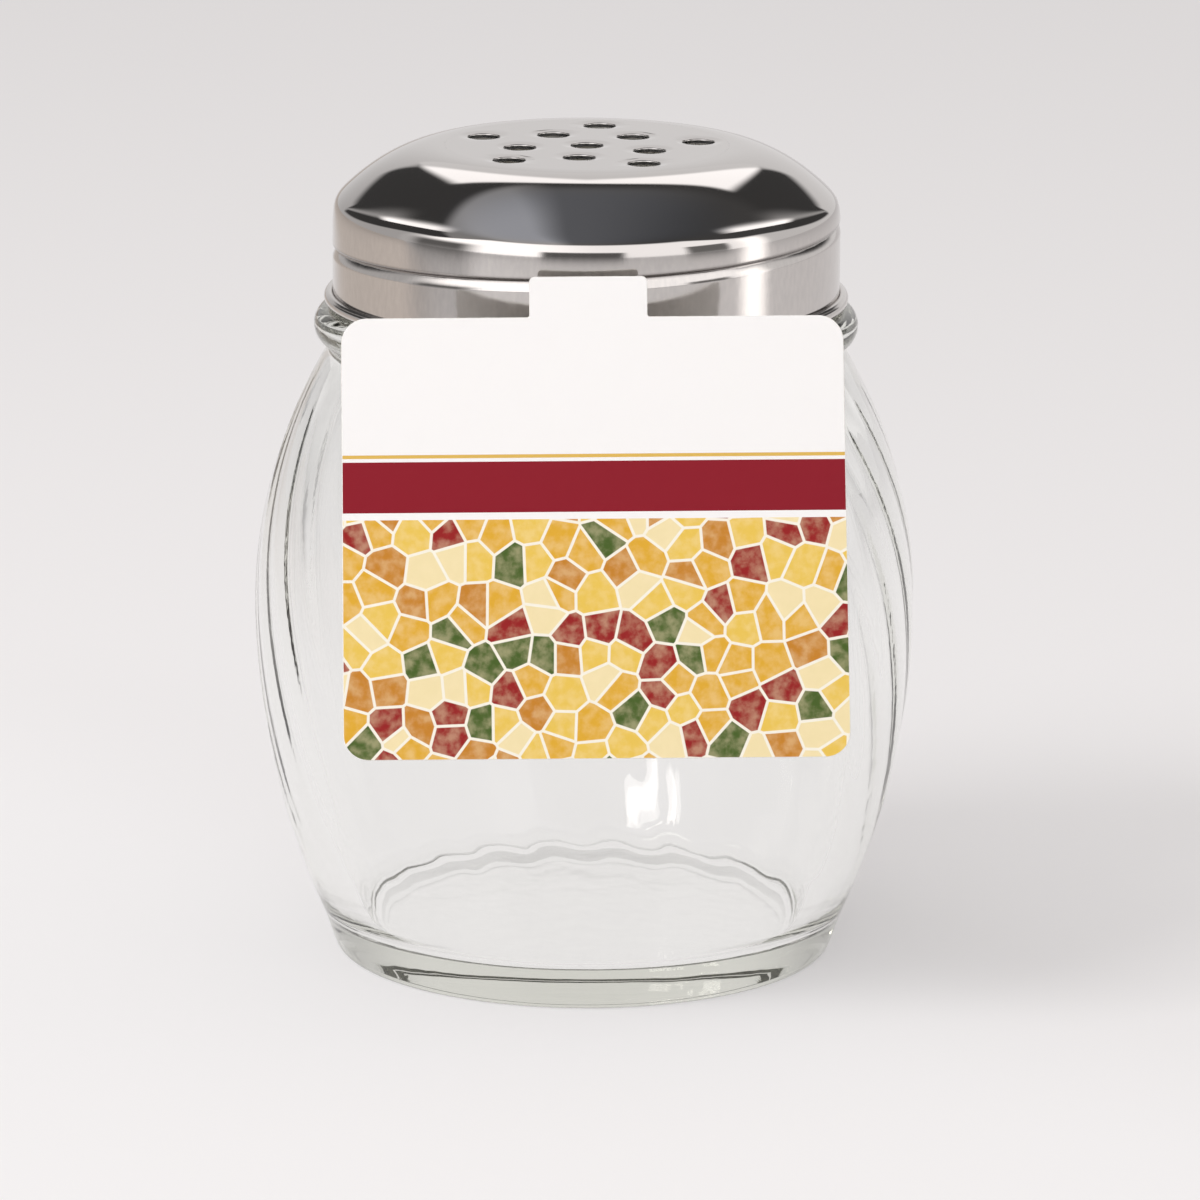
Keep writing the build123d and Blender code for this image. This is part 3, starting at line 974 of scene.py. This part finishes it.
def mirrored_room(tree, across, back, rise):
    """Brightness of the room as metal mirrors it: pale walls up to their top, and a dark ceiling above."""
    flat = add(tree, "CombineXYZ", {0: across, 1: back})
    heading = add(tree, "VectorMath", {0: flat.outputs[0]}, operation="NORMALIZE")
    heading = add(tree, "SeparateXYZ", {0: heading.outputs[0]}).outputs[1]
    above = calc(tree, "SUBTRACT", rise, wall_top(tree, heading))
    below_top = span(tree, above, -0.05, 0.05, 1.0, 0.0)
    walls = calc(tree, "MULTIPLY", wall_light(tree, across, heading), below_top)
    return calc(tree, "MAXIMUM", walls, ceiling_light(tree, across, back, rise))


def make_world():
    """Studio room: metal mirrors it with its dark ceiling, everything else sees it evenly pale."""
    world = bpy.data.worlds.new("studio")
    bpy.context.scene.world = world
    world.use_nodes = True
    tree = world.node_tree
    tree.nodes.clear()
    output = tree.nodes.new("ShaderNodeOutputWorld")
    direction = add(tree, "TexCoord").outputs["Generated"]
    across, back, rise = add(tree, "SeparateXYZ", {0: direction}).outputs
    rays = add(tree, "LightPath").outputs
    mirrored = calc(tree, "SUBTRACT", rays["Is Glossy Ray"], rays["Is Transmission Ray"])
    mirrored = calc(tree, "MAXIMUM", mirrored, 0.0)
    soft = soft_room(tree, back, rise)
    change = calc(tree, "SUBTRACT", mirrored_room(tree, across, back, rise), soft)
    strength = calc(tree, "ADD", soft, calc(tree, "MULTIPLY", change, mirrored))
    glass_lift = 0.1
    strength = calc(tree, "ADD", strength, calc(tree, "MULTIPLY", rays["Is Transmission Ray"], glass_lift))
    sides = span(tree, calc(tree, "ABSOLUTE", across), 0.4, 0.9, 0.0, side_shade)
    shaded = calc(tree, "MULTIPLY", rays["Is Transmission Ray"], sides)
    strength = calc(tree, "MULTIPLY", strength, calc(tree, "SUBTRACT", 1.0, shaded))
    overhead = calc(tree, "MULTIPLY", mirrored, span(tree, rise, 0.75, 0.95))
    colour = blend_colour(tree, overhead, (1.0, 0.98, 0.975, 1), (0.94, 0.98, 1.08, 1))
    sky = add(tree, "Background", {"Color": colour, "Strength": strength})
    tree.links.new(sky.outputs[0], output.inputs["Surface"])


def softbox(name, bearing, rise, distance, size, radiance):
    """Oblong lamp that faces the lid, by its compass bearing from the back, its elevation and distance."""
    lamp = bpy.data.lights.new(name, "AREA")
    lamp.shape = "RECTANGLE"
    lamp.size, lamp.size_y = size
    lamp.energy = radiance * math.pi * size[0] * size[1]
    holder = bpy.data.objects.new(name, lamp)
    bpy.context.scene.collection.objects.link(holder)
    bearing, rise = math.radians(bearing), math.radians(rise)
    away = Vector((math.sin(bearing) * math.cos(rise), math.cos(bearing) * math.cos(rise), math.sin(rise)))
    turn = away.to_track_quat("Z", "Y").to_matrix().to_4x4()
    place = Matrix.Translation(away * distance + Vector((0, 0, crease_height * MM)))
    holder.matrix_world = place @ turn
    holder.visible_camera = False
    holder.visible_glossy = False
    holder.visible_transmission = False


def soft_board(name, bearing, distance, width, low, high, radiance, edge=0.04, through_glass=False):
    """Upright board with soft edges between two heights, at a compass bearing from the back.

    It is seen only in mirrors or, as an alternative, only by light that came through glass.
    """
    material, tree, output = new_material(name)
    turn = math.radians(bearing)
    side = np.array([math.cos(turn), -math.sin(turn), 0])
    place = add(tree, "TexCoord").outputs["Object"]
    across = add(tree, "VectorMath", {0: place, 1: side}, operation="DOT_PRODUCT").outputs["Value"]
    level = add(tree, "SeparateXYZ", {0: place}).outputs[2]
    sides = span(tree, calc(tree, "ABSOLUTE", across), width / 2 - edge, width / 2, 1.0, 0.0)
    top_end = span(tree, level, high - edge, high, 1.0, 0.0)
    ends = calc(tree, "MULTIPLY", span(tree, level, low, low + 2 * edge), top_end)
    share = calc(tree, "MULTIPLY", sides, ends)
    glow = add(tree, "Emission", {"Color": (1.0, 0.97, 0.95, 1), "Strength": radiance})
    clear = add(tree, "BsdfTransparent")
    mixed = add(tree, "MixShader", {0: share, 1: clear.outputs[0], 2: glow.outputs[0]})
    tree.links.new(mixed.outputs[0], output.inputs["Surface"])
    middle = distance / MM * np.array([math.sin(turn), math.cos(turn), 0])
    half = width / MM / 2 * side
    bottom, top = np.array([0, 0, low / MM]), np.array([0, 0, high / MM])
    points = middle + np.array([bottom - half, bottom + half, top + half, top - half])
    board = new_piece(name, points, np.array([[0, 1, 2, 3]]), material, weld=False)
    board.visible_camera = False
    board.visible_diffuse = False
    board.visible_glossy = not through_glass
    board.visible_transmission = through_glass
    board.visible_shadow = False


def make_camera():
    """Camera at the photograph's angle: a long lens a little above the jar."""
    lens = bpy.data.cameras.new("photo_view")
    lens.lens = 209.85
    lens.sensor_width = 36.0
    lens.clip_end = 100.0
    camera = bpy.data.objects.new("photo_view", lens)
    bpy.context.scene.collection.objects.link(camera)
    place = Matrix.Translation((0, -0.786, 0.235))
    pitch, yaw, roll = math.radians(13.89), math.radians(0.13), math.radians(0.33)
    camera.matrix_world = (
        place @ Matrix.Rotation(-yaw, 4, "Z")
        @ Matrix.Rotation(math.pi / 2 - pitch, 4, "X") @ Matrix.Rotation(roll, 4, "Z"))
    bpy.context.scene.camera = camera


grain = grain_group()
board = grained("plain_board", grain, (0.80, 0.78, 0.74, 1), (0.90, 0.885, 0.86, 1), 1800.0, 0.3, 0.6, 0.8)
liner = grained("white_liner", grain, (0.76, 0.75, 0.71, 1), (0.87, 0.86, 0.82, 1), 1200.0, 0.35, 0.55, 0.75)
satin = grained("satin_inside", grain, (0.86, 0.85, 0.83, 1), (0.92, 0.91, 0.89, 1), 600.0, 0.2, 0.6, 0.7,
                Metallic=1.0)
# Punched hole walls: the near-black colour is painted shade in the holes, the higher roughness is the rough
# cut edge
punched_shaded_edge = grained("punched_edge_painted_shade", grain, (0.08, 0.08, 0.08, 1), (0.16, 0.155, 0.15, 1), 900.0, 0.3, 0.45, 0.6,
                  Metallic=1.0)
glue = grained("clear_glue", grain, (0.80, 0.78, 0.68, 1), (0.90, 0.89, 0.82, 1), 400.0, 0.3, 0.2, 0.35)

stands_for(make_glass_jar(clear_glass()), "glass_jar", "jar")
stands_for(make_shaker_lid([polished_steel(), satin, punched_shaded_edge]), "shaker_lid", "lid")
stands_for(make_rim_seal(liner), "rim_seal", "seal")
stands_for(make_front_label(printed_card(grain), board), "front_label", "jar")
stands_for(make_label_adhesive(glue), "label_adhesive", "jar")

make_floor()
make_world()
softbox("key_left", -125.0, 42.0, 1.2, (0.55, 0.4), 9.0)
softbox("front_strip", 180.0, 43.0, 1.1, (1.5, 0.12), 2.0)
soft_board("board_front", 181.5, 0.46, 0.34, 0.02, 0.2, 0.14)
soft_board("board_left", -113.0, 0.33, 0.28, -0.06, 0.25, 0.16, edge=0.09)
soft_board("board_right", 125.0, 0.44, 0.2, 0.03, 0.26, 0.2)
soft_board("bright_board", 103.0, 0.25, 0.095, -0.04, 0.22, 2.0)
soft_board("window_left", -152.0, 1.0, 0.25, 0.36, 0.9, 5.0, edge=0.02, through_glass=True)
soft_board("window_slit", -132.0, 1.0, 0.12, 0.36, 0.9, 6.0, edge=0.02, through_glass=True)
make_camera()
bpy.context.scene.view_settings.view_transform = "Standard"

# Light needs many bounces to find its way out of thick glass
light_paths = bpy.context.scene.cycles
light_paths.max_bounces = 24
light_paths.glossy_bounces = 20
light_paths.transmission_bounces = 24
